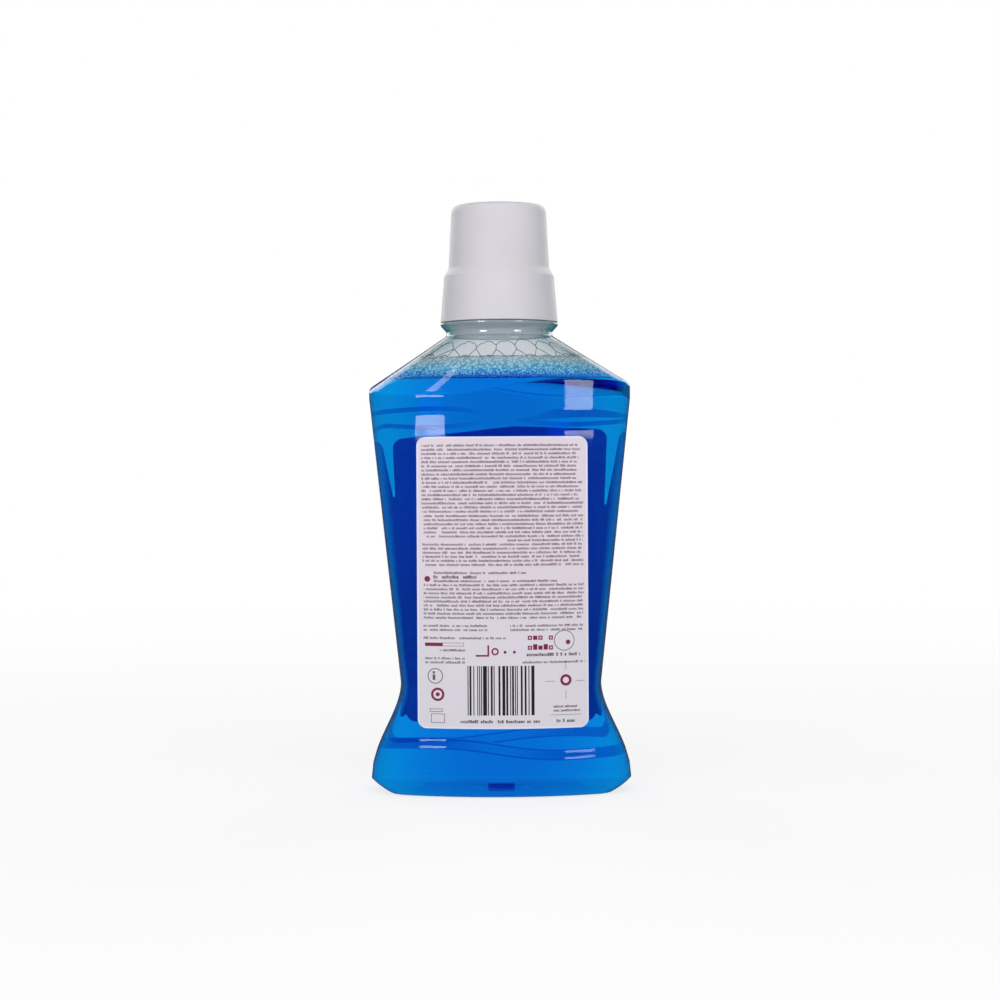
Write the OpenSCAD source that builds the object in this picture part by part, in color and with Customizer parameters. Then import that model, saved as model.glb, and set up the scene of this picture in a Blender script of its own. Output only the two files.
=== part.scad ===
// Mouthwash bottle: a clear blow-moulded bottle of blue liquid with a screw-on dosing cap.
// The back label faces -Y, the front label faces +Y, and Z points up.
// The origin is the middle of the ring that the bottle stands on. Sizes are in millimetres.

/* [Body] */
// Width across the shoulder edge
body_w = 91.6; // [84:0.1:100]
// Depth from face to face
body_d = 54; // [50:0.1:60]
// Height from the top of the panel's slope to the shoulder edge
shoulder_rise = 7.4; // [7:0.1:10]
// Height from the shoulder edge to the neck's root
shoulder_h = 17.7; // [16:0.1:22]
// Height of the upright band under the shoulder edge
band_h = 4.3; // [3:0.1:5]
// Width at the waist
waist_w = 70.4; // [68:0.1:78]
// Height of the waist
waist_z = 37.8; // [34:0.1:46]
// Width of the foot
foot_w = 91.2; // [84:0.1:100]
// Ease of the flare from the waist to the foot, a higher value holds the waist longer
flare_ease = 1.8; // [1.4:0.1:2.4]
// Radius of the bowed front and back faces
face_r = 84; // [70:1:120]
// Radius of the bowed sides
side_r = 80; // [60:1:110]
// Corner radius of the outline at the shoulder
shoulder_corner_r = 12; // [8:0.1:14]
// Corner radius of the outline at the waist
waist_corner_r = 4; // [3:0.1:6]
// Corner radius of the outline at the foot
foot_corner_r = 12; // [8:0.1:14]
// Softening of the shoulder edge
shoulder_edge_r = 0.8; // [0.4:0.1:1.2]
// Wall thickness
wall = 0.8; // [0.6:0.05:1.2]

/* [Base] */
// Height of the slanted bottom edge
foot_z = 4.8; // [4:0.1:8]
// Inset of the bottom edge towards the sides
base_side_inset = 6.8; // [4:0.1:10]
// How flat the slant towards the sides is: 0 makes it a full round
slant_share = 0.8; // [0:0.05:0.9]
// Inset of the bottom edge towards the faces
base_face_inset = 3; // [2:0.1:4]
// Thickness of the floor
floor_t = 1.6; // [1.2:0.1:2.2]
// Width of the ring that the bottle stands on
stand_w = 4; // [3:0.1:6]
// Rise of the pushed-up middle of the base
push_up_h = 2; // [1.5:0.1:6]
// Width of the locating notch in the back of the foot
notch_w = 9.2; // [6:0.1:12]
// Height of the locating notch
notch_h = 1.8; // [1.5:0.1:3.5]
// Height of the notch above the standing plane
notch_z = 3.2; // [3.1:0.1:4]
// Depth of the locating notch
notch_depth = 0.5; // [0.2:0.05:0.55]

/* [Creases] */
// Swing of the shoulder edge above and below its mean height
shoulder_wave = 2.7; // [0:0.1:3]
// Height from the back label's upper edge to the label panel's upper edge
panel_over_label = 5.8; // [4.5:0.1:9]
// Swing of the label panel's upper edge
panel_top_wave = 2.8; // [0:0.1:3]
// Height of the slope above the label panel's upper edge
panel_step_h = 4.8; // [3:0.1:5.4]
// Height of the lower line of the ledge above the foot
ledge_z = 14.85; // [12:0.1:16]
// Height of the sloping ledge
ledge_h = 3.15; // [2:0.1:4]
// Swing of the ledge
ledge_wave = 2.05; // [0:0.05:2.5]
// Recess of the label panel
panel_recess = 0.7; // [0.4:0.05:1]

/* [Neck] */
// Diameter of the plain neck
neck_d = 37.2; // [36.6:0.1:38]
// Height of the plain neck under the transfer ring
neck_band_h = 1.4; // [1:0.1:3]
// Diameter of the transfer ring
ring_d = 41.2; // [40:0.1:43]
// Height of the transfer ring
ring_h = 3; // [2.4:0.1:4]
// Height of the transfer ring's upright edge
ring_edge_h = 0.8; // [0.4:0.1:1.2]
// Diameter of the threaded finish over its wall
finish_d = 34; // [33.6:0.1:34.2]
// Height of the threaded finish above the transfer ring
finish_h = 12.6; // [12.4:0.1:14]
// Diameter of the mouth
bore_d = 30.8; // [29:0.1:31.2]
// Chamfer of the mouth's rim
rim_chamfer = 0.4; // [0.2:0.05:0.6]

/* [Thread] */
// Number of thread starts
thread_starts = 3; // [2:1:3]
// Rise of the thread in one turn
thread_lead = 12; // [11.4:0.1:12.6]
// Height of a thread at its root
thread_root_h = 2; // [1.6:0.1:2.1]
// Height of a thread at its crest
thread_crest_h = 1.1; // [0.8:0.1:1.2]
// Gap between the bottle's thread crest and the cap's skirt
crest_gap = 0.25; // [0.15:0.01:0.35]
// Gap between the cap's thread crest and the bottle's finish
root_gap = 0.2; // [0.15:0.01:0.35]
// Gap between the bearing flanks of the closed threads
flank_gap = 0.12; // [0.08:0.01:0.2]
// Turn of each thread on the bottle in degrees
neck_thread_turn = 200; // [150:5:210]
// Turn of each thread in the cap in degrees
cap_thread_turn = 120; // [90:5:130]

/* [Cap] */
// Height of the cap
cap_h = 41.1; // [40:0.1:46]
// Diameter of the cap's top
cap_top_d = 33.1; // [32.8:0.1:34]
// Diameter of the cup part just above the step
cup_d = 35.4; // [35.2:0.1:36]
// Diameter of the skirt just under the step
skirt_top_d = 38.6; // [38.4:0.1:40]
// Diameter of the skirt at its lower edge
skirt_d = 41.2; // [41:0.1:43]
// Height from the skirt's lower edge to the step
step_z = 16.2; // [15.4:0.1:18]
// Height of the sloping step
step_h = 2.7; // [2:0.1:6]
// Rounding of the cap's top edge
cap_edge_r = 2.8; // [1.5:0.1:4]
// Bore of the threaded skirt
skirt_bore_d = 36.2; // [36:0.1:36.4]
// Diameter of the relief at the skirt's lower edge
relief_d = 38.8; // [38:0.1:39.2]
// Height of the relief at the skirt's lower edge
relief_h = 1.2; // [0.8:0.1:1.6]
// Inner diameter of the cup at its mouth
cup_mouth_d = 32.8; // [32:0.1:33]
// Inner diameter of the cup at its floor
cup_floor_d = 31; // [30:0.1:31.2]
// Thickness of the cup's floor, the closed top of the cap
cup_floor_t = 1.3; // [1:0.1:2]
// Rounding between the cup's floor and its wall
cup_floor_r = 2; // [1:0.1:3]
// Depth of the fill line below the cup's floor, which is 20 ml deep
fill_line_depth = 25; // [22:0.1:25.4]
// Stand-out of the moulded fill line
fill_line_t = 0.3; // [0.2:0.05:0.4]

/* [Seal] */
// Thickness of the sealing ring
seal_t = 0.8; // [0.5:0.1:1]
// Outer diameter of the sealing ring
seal_d = 35.8; // [34.5:0.1:35.9]
// Inner diameter of the sealing ring
seal_bore_d = 31.2; // [31:0.1:32]

/* [Labels] */
// Thickness of the labels
label_t = 0.12; // [0.08:0.01:0.2]
// Width of the back label
back_label_w = 58.6; // [50:0.1:60]
// Height of the back label
back_label_h = 99.8; // [80:0.1:120]
// Height from the ledge's upper line to the back label's lower edge
back_label_rise = 5.7; // [4:0.1:9]
// Sideways shift of the back label
back_label_x = 0.7; // [-1:0.1:1]
// Corner radius of the back label
back_label_r = 3; // [1:0.1:5]
// Width of the front label at its upper edge
front_label_top_w = 68; // [54:0.1:69]
// Width of the front label at its lower edge
front_label_low_w = 59; // [50:0.1:60]
// Height from the front label's upper edge, at its middle, to the label panel's upper edge
front_label_drop = 2; // [1.8:0.1:8]
// Height from the ledge's upper line to the front label's lower edge
front_label_rise = 4.3; // [3.5:0.1:12]
// Swing of the front label's upper edge
front_label_wave = 1.6; // [0:0.1:1.8]
// Rise of the upper edge's middle above its ends
front_label_crown = 2.6; // [0:0.1:4]
// Corner radius of the front label
front_label_r = 3; // [1:0.1:5]

/* [Contents] */
// Height of the liquid's surface above the shoulder edge
liquid_rise = 3.1; // [3:0.1:5.5]
// Height of the foam above the liquid
foam_h = 5.6; // [3:0.1:6]
// Dome of the foam in the middle
foam_dome_h = 0.8; // [0:0.1:1]

/* [Fits] */
// Gap between the cap's lower edge and the transfer ring
cap_gap = 0.3; // [0.2:0.05:0.6]
// Gap between the contents and the wall around them
content_gap = 0.15; // [0.1:0.01:0.25]
// Gap between a label and the panel under it
label_gap = 0.05; // [0.03:0.01:0.1]
// Set-back of the faceted body's seat inside the turned neck
neck_seat = 0.1; // [0.05:0.01:0.15]
// Depth that a thread is rooted in its wall
thread_bury = 0.5; // [0.3:0.05:0.6]
// Overrun of a cut past a surface
overrun = 1; // [0.5:0.1:2]

/* [Hidden] */

// Steps round a quarter of the outline: along the side, round the corner, along the face
side_n = 3;
corner_n = 5;
face_n = 5;
quarter_n = side_n + corner_n + face_n;
ring_n = 4 * quarter_n;

// Fineness of the turned pieces and steps of small arcs
turned_n = 96;
arc_n = 5;
label_edge_n = 12;
thread_step_angle = 10;
thread_fade_angle = 20;

// Levels between named heights, as shares of the way up
flare_shares = [0.25, 0.5, 0.75];
panel_shares = [0.2, 0.45, 0.7, 0.9];
push_up_shares = [0.8, 0.5, 0.2];
// Rings of the foam's dome, as shares of its width and of its rise
dome_shares = [[0.6, 0.7], [0.25, 1]];
// Drop of an inner shoulder skin for each unit that it lies inside the outer one
shoulder_drop_share = 0.6;

// Heights of the body, stacked from the foot over the back label to the neck's root
ledge_top_z = ledge_z + ledge_h;
back_label_z = ledge_top_z + back_label_rise + back_label_h / 2;
panel_top_z = back_label_z + back_label_h / 2 + panel_over_label;
step_top_z = panel_top_z + panel_step_h;
shoulder_z = step_top_z + shoulder_rise;
band_z = shoulder_z - band_h;
neck_root_z = shoulder_z + shoulder_h;
front_label_low_z = ledge_top_z + front_label_rise;
front_label_top_z = panel_top_z - front_label_drop;
liquid_z = shoulder_z + liquid_rise;

// Heights of the neck and the cap, worked up from the neck's root
ring_z = neck_root_z + neck_band_h;
ring_top_z = ring_z + ring_h;
rim_z = ring_top_z + finish_h;
cap_z = ring_top_z + cap_gap;
ledge_seat_z = rim_z + seal_t;
cap_top_z = cap_z + cap_h;
cup_floor_z = cap_top_z - cup_floor_t;

// Radii of the threads
neck_r = neck_d / 2;
bore_r = bore_d / 2;
finish_r = finish_d / 2;
skirt_bore_r = skirt_bore_d / 2;
neck_crest_r = skirt_bore_r - crest_gap;
cap_crest_r = finish_r + root_gap;
thread_pitch = thread_lead / thread_starts;

function lerp(a, b, t) = a + (b - a) * t;
function clip(t) = min(max(t, 0), 1);

// How far the flare has run from the waist, 0, to the foot, 1
function flare_share(z) = pow(sin(90 * clip((waist_z - z) / (waist_z - foot_z))), flare_ease);

// Width of the body at a height
function width_at(z) =
    z > waist_z
    ? lerp(waist_w, body_w, clip((z - waist_z) / (band_z - waist_z)))
    : lerp(waist_w, foot_w, flare_share(z));

// Corner radius of the outline at a height
function corner_at(z) =
    z > waist_z
    ? lerp(waist_corner_r, shoulder_corner_r, clip((z - waist_z) / (band_z - waist_z)))
    : lerp(waist_corner_r, foot_corner_r, flare_share(z));

// Middle of the corner arc that touches both the face arc and the side arc
function corner_middle(w, d, corner_r) =
    let (face_c = [0, d / 2 - face_r],
        side_c = [w / 2 - side_r, 0],
        span = norm(side_c - face_c),
        along = (side_c - face_c) / span,
        across = [along.y, -along.x],
        near = face_r - corner_r,
        far = side_r - corner_r,
        a = (near * near - far * far + span * span) / (2 * span))
    face_c + a * along + sqrt(near * near - a * a) * across;

// Point k of the outline's first quarter, set in from it by inset, from +X round to +Y
function quarter_point(w, d, corner_r, inset, k) =
    let (c = corner_middle(w, d, corner_r),
        face_c = [0, d / 2 - face_r],
        side_c = [w / 2 - side_r, 0],
        side_a = atan2(c.y, c.x - side_c.x),
        face_a = atan2(c.y - face_c.y, c.x))
    k <= side_n
    ? let (a = side_a * k / side_n)
        side_c + (side_r - inset) * [cos(a), sin(a)]
    : k <= side_n + corner_n
    ? let (a = lerp(side_a, face_a, (k - side_n) / corner_n))
        c + (corner_r - inset) * [cos(a), sin(a)]
    : let (a = lerp(face_a, 90, (k - side_n - corner_n) / face_n))
        face_c + (face_r - inset) * [cos(a), sin(a)];

// Point j of the whole outline, counter-clockwise from +X
function outline_point(w, d, corner_r, inset, j) =
    let (q = floor(j / quarter_n),
        k = j - q * quarter_n,
        p = quarter_point(w, d, corner_r, inset, q % 2 == 0 ? k : quarter_n - k))
    [q == 1 || q == 2 ? -p.x : p.x, q >= 2 ? -p.y : p.y];

// Direction of each outline point from the axis, and the swing there, from -1 to 1
point_angles = [
    for (j = [0 : ring_n - 1])
        let (p = outline_point(body_w, body_d, shoulder_corner_r, 0, j))
        atan2(p.y, p.x)
];
swings = [for (a = point_angles) sin(2 * a)];

// One ring of the body at a mean height z, swinging by wave, recessed on its faces
function body_ring(z, wave, recess, inset) = [
    for (j = [0 : ring_n - 1])
        let (h = z + wave * swings[j],
            p = outline_point(width_at(h), body_d - 2 * recess, corner_at(h), inset, j))
        [p.x, p.y, h]
];

// Where the band's lower edge lies between the panel's slope and the shoulder edge
band_share = (band_z - step_top_z) / (shoulder_z - shoulder_edge_r - step_top_z);

// The rings from the foot up to the band under the shoulder
function body_rings(inset) = concat(
    [
        body_ring(foot_z, 0, 0, inset),
        body_ring((foot_z + ledge_z) / 2, ledge_wave / 2, 0, inset),
        body_ring(ledge_z, ledge_wave, 0, inset),
        body_ring(ledge_top_z, ledge_wave, panel_recess, inset)
    ],
    [
        for (s = flare_shares)
            body_ring(lerp(ledge_top_z, waist_z, s), ledge_wave * (1 - s), panel_recess, inset)
    ],
    [body_ring(waist_z, 0, panel_recess, inset)],
    [
        for (s = panel_shares)
            body_ring(lerp(waist_z, panel_top_z, s), panel_top_wave * s * s, panel_recess, inset)
    ],
    [
        body_ring(panel_top_z, panel_top_wave, panel_recess, inset),
        body_ring(step_top_z, panel_top_wave, 0, inset),
        body_ring(band_z, lerp(panel_top_wave, -shoulder_wave, band_share), 0, inset)
    ]
);

// A point on the shoulder, from its edge at t = 0 straight to the neck's root at t = 1
function shoulder_low(inset, j) =
    let (p = outline_point(body_w - 2 * shoulder_edge_r, body_d - 2 * shoulder_edge_r,
            shoulder_corner_r - shoulder_edge_r, inset, j))
    [p.x, p.y, shoulder_z - shoulder_wave * swings[j] - shoulder_drop_share * inset];
function shoulder_high(inset, j) =
    let (a = point_angles[j], r = neck_r - neck_seat - inset)
    [r * cos(a), r * sin(a), neck_root_z - shoulder_drop_share * inset];
function shoulder_ring(inset, t) = [
    for (j = [0 : ring_n - 1]) lerp(shoulder_low(inset, j), shoulder_high(inset, j), t)
];

// The upright ring just under the shoulder edge
function edge_ring(inset) = [
    for (j = [0 : ring_n - 1])
        let (p = outline_point(body_w, body_d, shoulder_corner_r, inset, j))
        [p.x, p.y, shoulder_z - shoulder_wave * swings[j] - shoulder_edge_r - shoulder_drop_share * inset]
];

// The shoulder's outline at one level height
function level_ring(inset, z) = [
    for (j = [0 : ring_n - 1])
        let (low = shoulder_low(inset, j), high = shoulder_high(inset, j))
        lerp(low, high, (z - low.z) / (high.z - low.z))
];

// A ring of the base, set in by separate amounts towards the sides and the faces
function base_ring(side_in, face_in, z, inset) = [
    for (j = [0 : ring_n - 1])
        let (p = outline_point(foot_w - 2 * side_in, body_d - 2 * face_in,
                foot_corner_r - face_in, inset, j))
        [p.x, p.y, z]
];

// The bottom edge, from t = 0 at its top to t = 1 at its foot, as shares of its inset and of its height
function slant_in(t) = lerp(1 - cos(90 * t), t, slant_share);
function slant_down(t) = lerp(sin(90 * t), t, slant_share);

// The bottom edge and the pushed-up middle, from the centre out, lift above the outside
function base_rings(inset, lift) = concat(
    [
        for (i = [len(push_up_shares) - 1 : -1 : 0])
            let (s = push_up_shares[i],
                edge = base_ring(base_side_inset + stand_w, base_face_inset + stand_w, 0, inset))
            [for (p = edge) [p.x * s, p.y * s, lift + push_up_h * (1 - s * s)]]
    ],
    [base_ring(base_side_inset + stand_w, base_face_inset + stand_w, lift, inset)],
    [
        for (i = [0 : arc_n - 1])
            let (t = 1 - i / arc_n, down = slant_down(t))
            base_ring(base_side_inset * slant_in(t), base_face_inset * (1 - sqrt(1 - down * down)),
                foot_z - (foot_z - lift) * down, inset)
    ]
);

// The body's skin up to the shoulder edge, set in by inset and lifted off the base
function skin_rings(inset, lift) =
    concat(base_rings(inset, lift), body_rings(inset), [edge_ring(inset)]);

function reversed(list) = [for (i = [len(list) - 1 : -1 : 0]) list[i]];

// A ring of bare radius, with its points in the outline's directions
function round_ring(r, z) = [for (a = point_angles) [r * cos(a), r * sin(a), z]];

// A closed solid through a chain of rings of ring_n points, ended by the first and last ring
module lofted(rings) {
    last = len(rings) - 1;
    polyhedron(
        points = [for (ring = rings, p = ring) p],
        faces = concat(
            [[for (j = [0 : ring_n - 1]) j]],
            [
                for (i = [0 : last - 1], j = [0 : ring_n - 1], half = [0, 1])
                    let (k = (j + 1) % ring_n,
                        a = i * ring_n + j,
                        b = i * ring_n + k,
                        c = (i + 1) * ring_n + k,
                        d = (i + 1) * ring_n + j)
                    half == 0 ? [a, d, c] : [a, c, b]
            ],
            [[for (j = [ring_n - 1 : -1 : 0]) last * ring_n + j]]
        ),
        convexity = 6
    );
}

// A helical thread of one start. wall_r is the face that it stands on, crest_r its crest,
// and mid_z the height of its middle at start_a. Its ends fade into the wall.
module thread(wall_r, crest_r, mid_z, start_a, turn) {
    steps = ceil(turn / thread_step_angle);
    outward = crest_r > wall_r ? 1 : -1;
    root_r = wall_r - outward * thread_bury;
    hidden_r = wall_r - outward * thread_bury / 2;
    sections = [
        for (i = [0 : steps])
            let (along = turn * i / steps,
                fade = clip(min(along, turn - along) / thread_fade_angle),
                a = start_a + along,
                z = mid_z + thread_lead * along / 360,
                r = lerp(hidden_r, crest_r, fade),
                corners = [
                    [root_r, z - thread_root_h / 2],
                    [r, z - thread_crest_h / 2],
                    [r, z + thread_crest_h / 2],
                    [root_r, z + thread_root_h / 2]
                ])
            [for (p = corners) [p.x * cos(a), p.x * sin(a), p.y]]
    ];
    side = [
        for (i = [0 : steps - 1], m = [0 : 3], half = [0, 1])
            let (n = (m + 1) % 4, a = 4 * i + m, b = 4 * i + n, c = a + 4, d = b + 4)
            half == 0 ? [a, c, d] : [a, d, b]
    ];
    faces = concat(side, [[0, 1, 2], [0, 2, 3]], [[4 * steps, 4 * steps + 2, 4 * steps + 1],
        [4 * steps, 4 * steps + 3, 4 * steps + 2]]);
    polyhedron(
        points = [for (s = sections, p = s) p],
        faces = outward > 0 ? [for (f = faces) [f.x, f.z, f.y]] : faces,
        convexity = 4
    );
}

// Height of a bottle thread's middle at its lower end, centred on the finish
neck_thread_z = (ring_top_z + rim_z) / 2 - thread_lead * neck_thread_turn / 720;
// Drop of the cap's threads below the bottle's, flank to flank
thread_drop = (thread_root_h + thread_crest_h) / 2 + flank_gap;
// Turn by which the cap's threads start after the bottle's, so that their upper ends meet
cap_thread_lag = neck_thread_turn - cap_thread_turn;

// One thread after another, evenly round the axis
module thread_set(wall_r, crest_r, mid_z, first_a, turn) {
    for (i = [0 : thread_starts - 1])
        thread(wall_r, crest_r, mid_z, first_a + 360 * i / thread_starts, turn);
}

// The turned neck: plain band, transfer ring and threaded finish
module neck() {
    rotate_extrude($fn = turned_n)
        polygon([
            [bore_r, neck_root_z],
            [neck_r, neck_root_z],
            [neck_r, ring_z],
            [ring_d / 2, ring_top_z - ring_edge_h],
            [ring_d / 2, ring_top_z],
            [finish_r, ring_top_z],
            [finish_r, rim_z - rim_chamfer],
            [finish_r - rim_chamfer, rim_z],
            [bore_r, rim_z]
        ]);
}

// Rings of the whole shell: up the outside, over the neck's seat and down the inside
shell_rings = concat(
    skin_rings(0, 0),
    [shoulder_ring(0, 0), shoulder_ring(0, 0.5), shoulder_ring(0, 1)],
    [round_ring(bore_r + neck_seat, neck_root_z)],
    [shoulder_ring(wall, 1), shoulder_ring(wall, 0.5), shoulder_ring(wall, 0)],
    reversed(skin_rings(wall, floor_t))
);

module bottle() {
    color([0.62, 0.8, 0.86, 0.5]) {
        difference() {
            lofted(shell_rings);
            translate([-notch_w / 2, -body_d / 2 - overrun, notch_z])
                cube([notch_w, overrun + notch_depth, notch_h]);
        }
        neck();
        thread_set(finish_r, neck_crest_r, neck_thread_z, 0, neck_thread_turn);
    }
}

// Outline of the cap's shell in radius and height, from the cup's floor round to the top
cup_fillet_c = [cup_floor_d / 2 - cup_floor_r, cup_floor_z - cup_floor_r];
cap_edge_c = [cap_top_d / 2 - cap_edge_r, cap_top_z - cap_edge_r];
cup_wall_slope = (cup_mouth_d - cup_floor_d) / 2 / (cup_floor_z - ledge_seat_z);
fill_line_z = cup_floor_z - fill_line_depth;
fill_line_r = cup_floor_d / 2 + cup_wall_slope * fill_line_depth;
cap_outline = concat(
    [[0, cup_floor_z]],
    [
        for (i = [0 : arc_n])
            let (a = 90 * (1 - i / arc_n))
            cup_fillet_c + cup_floor_r * [cos(a), sin(a)]
    ],
    [
        [fill_line_r - cup_wall_slope * fill_line_t, fill_line_z + fill_line_t],
        [fill_line_r - fill_line_t, fill_line_z],
        [fill_line_r + cup_wall_slope * fill_line_t, fill_line_z - fill_line_t],
        [cup_mouth_d / 2, ledge_seat_z],
        [skirt_bore_r, ledge_seat_z],
        [skirt_bore_r, cap_z + relief_h + (relief_d / 2 - skirt_bore_r)],
        [relief_d / 2, cap_z + relief_h],
        [relief_d / 2, cap_z],
        [skirt_d / 2, cap_z],
        [skirt_top_d / 2, cap_z + step_z],
        [cup_d / 2, cap_z + step_z + step_h]
    ],
    [
        for (i = [0 : arc_n])
            let (a = 90 * i / arc_n)
            cap_edge_c + cap_edge_r * [cos(a), sin(a)]
    ],
    [[0, cap_top_z]]
);

module cap() {
    color([0.84, 0.83, 0.85]) {
        rotate_extrude($fn = turned_n) polygon(cap_outline);
        thread_set(skirt_bore_r, cap_crest_r,
            neck_thread_z - thread_drop + thread_lead * cap_thread_lag / 360,
            cap_thread_lag, cap_thread_turn);
    }
}

module cap_seal() {
    color([0.93, 0.93, 0.9])
        translate([0, 0, rim_z])
            difference() {
                cylinder(h = seal_t, d = seal_d, $fn = turned_n);
                translate([0, 0, -overrun])
                    cylinder(h = seal_t + 2 * overrun, d = seal_bore_d, $fn = turned_n);
            }
}

// Corner arcs of a rectangle of size w by h about the origin
function rounded_outline(w, h, r) = [
    for (q = [0 : 3], i = [0 : arc_n])
        let (a = 90 * (q + i / arc_n),
            c = [(w / 2 - r) * (q == 0 || q == 3 ? 1 : -1), (h / 2 - r) * (q < 2 ? 1 : -1)])
        c + r * [cos(a), sin(a)]
];

// Swing of a line across a face at x, with the sense of the front face
face_swing_r = body_d / 2 - panel_recess;
function face_swing(x) = sin(2 * atan2(face_swing_r, x));

// A thin sheet on the panel of the front face, cut to an outline in X and Z
module panel_sheet(outline) {
    low_r = face_r + label_gap;
    intersection() {
        translate([0, face_swing_r - face_r, 0])
            difference() {
                cylinder(h = shoulder_z, r = low_r + label_t, $fn = turned_n);
                translate([0, 0, -overrun])
                    cylinder(h = shoulder_z + 2 * overrun, r = low_r, $fn = turned_n);
            }
        translate([0, body_d, 0])
            rotate([90, 0, 0])
                linear_extrude(height = body_d) polygon(outline);
    }
}

// Height of the front label's upper edge at x, which runs with the crease above it
function front_top(x) =
    front_label_top_z + front_label_wave * face_swing(x)
    - front_label_crown * pow(2 * x / front_label_top_w, 2);

// A corner arc of the front label about [x, z], from angle a on
function label_corner(x, z, a) = [
    for (i = [0 : arc_n]) [x, z] + front_label_r * [cos(a + 90 * i / arc_n), sin(a + 90 * i / arc_n)]
];

front_label_outline =
    let (top_x = front_label_top_w / 2 - front_label_r, low_x = front_label_low_w / 2 - front_label_r)
    concat(
        label_corner(low_x, front_label_low_z + front_label_r, -90),
        label_corner(top_x, front_top(top_x) - front_label_r, 0),
        [
            for (i = [1 : label_edge_n - 1])
                let (x = lerp(top_x, -top_x, i / label_edge_n))
                [x, front_top(x)]
        ],
        label_corner(-top_x, front_top(-top_x) - front_label_r, 90),
        label_corner(-low_x, front_label_low_z + front_label_r, 180)
    );

module front_label() {
    color([0.05, 0.12, 0.55]) panel_sheet(front_label_outline);
}

module back_label() {
    color([0.9, 0.85, 0.89])
        rotate([0, 0, 180])
            panel_sheet([
                for (p = rounded_outline(back_label_w, back_label_h, back_label_r))
                    [p.x - back_label_x, p.y + back_label_z]
            ]);
}

module mouthwash() {
    inset = wall + content_gap;
    color([0, 0.42, 0.82, 0.7])
        lofted(concat(
            skin_rings(inset, floor_t + content_gap),
            [shoulder_ring(inset, 0), level_ring(inset, liquid_z)]
        ));
}

// A level ring drawn in towards the axis by a share of its size
function drawn_ring(inset, z, share, rise) = [
    for (p = level_ring(inset, z)) [p.x * share, p.y * share, p.z + rise]
];

module foam() {
    inset = wall + content_gap;
    top_z = liquid_z + foam_h;
    color([0.75, 0.93, 0.97, 0.8])
        lofted(concat(
            [level_ring(inset, liquid_z), level_ring(inset, top_z)],
            [for (s = dome_shares) drawn_ring(inset, top_z, s[0], foam_dome_h * s[1])]
        ));
}

bottle();
cap();
cap_seal();
front_label();
back_label();
mouthwash();
foam();
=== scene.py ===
import functools
import math
import random

import bpy
import numpy as np
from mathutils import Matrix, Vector, geometry, kdtree


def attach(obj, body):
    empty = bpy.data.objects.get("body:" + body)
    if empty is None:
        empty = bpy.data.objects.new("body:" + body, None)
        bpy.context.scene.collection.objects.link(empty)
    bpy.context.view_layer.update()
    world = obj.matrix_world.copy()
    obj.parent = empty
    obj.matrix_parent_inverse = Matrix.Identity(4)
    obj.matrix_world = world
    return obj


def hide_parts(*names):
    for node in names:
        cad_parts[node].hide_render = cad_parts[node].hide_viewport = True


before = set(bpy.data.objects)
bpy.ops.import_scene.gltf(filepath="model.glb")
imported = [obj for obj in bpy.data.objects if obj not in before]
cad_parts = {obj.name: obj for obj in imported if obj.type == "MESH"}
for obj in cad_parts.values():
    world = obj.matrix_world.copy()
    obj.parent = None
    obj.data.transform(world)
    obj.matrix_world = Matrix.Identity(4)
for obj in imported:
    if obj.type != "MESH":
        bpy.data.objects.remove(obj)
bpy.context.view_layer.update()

# Mouthwash bottle: a clear bottle of blue liquid with a froth on it and a screw-on dosing cap.
# The back label faces -Y, the front label faces +Y, and the ring that the bottle stands on is at Z 0.
MM = 0.001

# Body
body_w = 91.6 * MM
body_d = 54 * MM
waist_w = 70.4 * MM
waist_z = 37.8 * MM
foot_w = 91.2 * MM
flare_ease = 1.8
face_r = 84 * MM
side_r = 80 * MM
shoulder_corner_r = 12 * MM
waist_corner_r = 4 * MM
foot_corner_r = 12 * MM
shoulder_edge_r = 0.8 * MM
wall = 0.8 * MM
shoulder_z = 141.5 * MM
band_z = shoulder_z - 4.3 * MM
core_z = 91.6 * MM

# Base
foot_z = 4.8 * MM
base_side_inset = 6.8 * MM
base_face_inset = 3 * MM
slant_share = 0.8
face_round_h = 7 * MM
floor_t = 1.6 * MM
stand_w = 4 * MM
push_up_h = 2 * MM
notch_w = 9.2 * MM
notch_h = 1.8 * MM
notch_z = 3.2 * MM
notch_depth = 0.5 * MM

# Creases
shoulder_wave = 2.7 * MM
panel_top_z = 129.3 * MM
panel_top_wave = 2.8 * MM
step_top_z = panel_top_z + 4.8 * MM
ledge_z = 14.85 * MM
ledge_top_z = ledge_z + 3.15 * MM
ledge_wave = 2.05 * MM
panel_recess = 0.7 * MM
crease_soft = 1.1 * MM
edge_soft = 0.5 * MM
shoulder_drop_share = 0.6
# Where the wall's colour holds painted shade along the ledge and the panel's top, and the width of the thin
# painted shade lines at the ledge's creases
ledge_shade_over = 0.2 * MM
panel_shade_low = 0.3 * MM
panel_shade_high = 1.9 * MM
shade_start_x = 4 * MM
shade_full_x = 26 * MM
crease_shade_line = 0.5 * MM

# Neck
neck_root_z = 159.2 * MM
neck_r = 18.6 * MM
ring_z = neck_root_z + 1.4 * MM
ring_top_z = ring_z + 3 * MM
ring_r = 20.6 * MM
ring_edge_h = 0.8 * MM
finish_r = 17 * MM
rim_z = ring_top_z + 12.6 * MM
bore_r = 15.4 * MM
rim_chamfer = 0.4 * MM
bore_near = 0.6 * MM
frost_under = 0.3 * MM
frost_over = 0.6 * MM

# Threads
thread_starts = 3
thread_lead = 12 * MM
thread_root_h = 2 * MM
thread_crest_h = 1.1 * MM
thread_bury = 0.5 * MM
thread_soft = 0.25 * MM
skirt_bore_r = 18.1 * MM
neck_crest_r = skirt_bore_r - 0.25 * MM
cap_crest_r = finish_r + 0.2 * MM
flank_gap = 0.12 * MM
neck_thread_turn = math.radians(200)
cap_thread_turn = math.radians(120)
thread_fade = math.radians(20)
thread_step = math.radians(5)

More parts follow.
